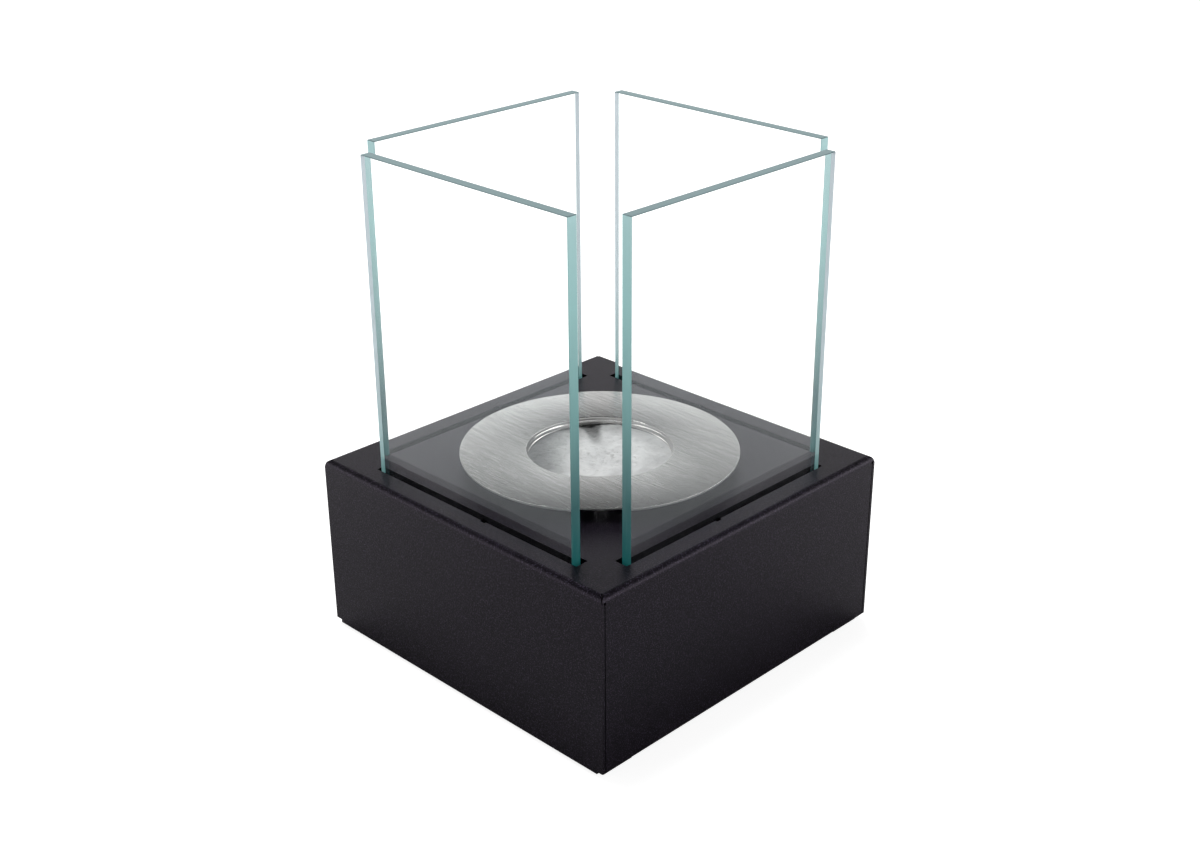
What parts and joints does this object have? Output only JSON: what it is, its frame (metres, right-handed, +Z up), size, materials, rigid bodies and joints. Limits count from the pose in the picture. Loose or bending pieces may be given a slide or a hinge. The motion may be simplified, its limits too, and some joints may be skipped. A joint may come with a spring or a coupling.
{
  "type": "tabletop bioethanol fireplace",
  "caption": "Square tabletop bioethanol fireplace: folded black steel box with clear glass panes in its top slots around a round lift-out stainless burner filled with ceramic wool.",
  "frame": {"origin": "on the floor under the middle of the housing, level with the undersides of the feet", "axes": "+Z up, -Y out of the front wall, +X out of the right wall; the picture looks at the corner between those two walls"},
  "size_m": [0.18, 0.18, 0.2348],
  "materials": {
    "black_powder_coat": "satin-matt fine-textured powder coat",
    "clear_glass": "clear float glass with green edges",
    "brushed_stainless": "linear brushed",
    "cup_stainless": "mill finish with a weld seam",
    "ceramic_wool": "fibrous white wool",
    "black_rubber": "matt",
    "black_silicone": "matt black",
    "zinc_steel": "zinc plated"
  },
  "bodies": {
    "housing": {"housing_shell": "black_powder_coat", "base_plate": "zinc_steel", "base_screws": "zinc_steel", "base_nuts": "zinc_steel", "foot_front_left": "black_rubber", "foot_front_right": "black_rubber", "foot_back_left": "black_rubber", "foot_back_right": "black_rubber", "holder_front": "black_powder_coat", "holder_right": "black_powder_coat", "holder_back": "black_powder_coat", "holder_left": "black_powder_coat", "cushion_front": "black_silicone", "cushion_right": "black_silicone", "cushion_back": "black_silicone", "cushion_left": "black_silicone", "holder_studs": "zinc_steel", "holder_nuts": "zinc_steel"},
    "burner": {"burner_plate": "brushed_stainless", "cup_wall": "cup_stainless", "cup_base": "cup_stainless", "burner_spacers": "cup_stainless", "ceramic_wool": "ceramic_wool"},
    "front_pane": {"glass_front": "clear_glass"},
    "right_pane": {"glass_right": "clear_glass"},
    "back_pane": {"glass_back": "clear_glass"},
    "left_pane": {"glass_left": "clear_glass"}
  },
  "joints": [
    {"name": "burner_lift", "type": "slide", "parent": "housing", "child": "burner", "axis": [0, 0, 1], "range_m": [0, 0.22]},
    {"name": "front_pane_lift", "type": "slide", "parent": "housing", "child": "front_pane", "axis": [0, 0, 1], "range_m": [0, 0.03]},
    {"name": "right_pane_lift", "type": "slide", "parent": "housing", "child": "right_pane", "axis": [0, 0, 1], "range_m": [0, 0.03]},
    {"name": "back_pane_lift", "type": "slide", "parent": "housing", "child": "back_pane", "axis": [0, 0, 1], "range_m": [0, 0.03]},
    {"name": "left_pane_lift", "type": "slide", "parent": "housing", "child": "left_pane", "axis": [0, 0, 1], "range_m": [0, 0.03]}
  ]
}
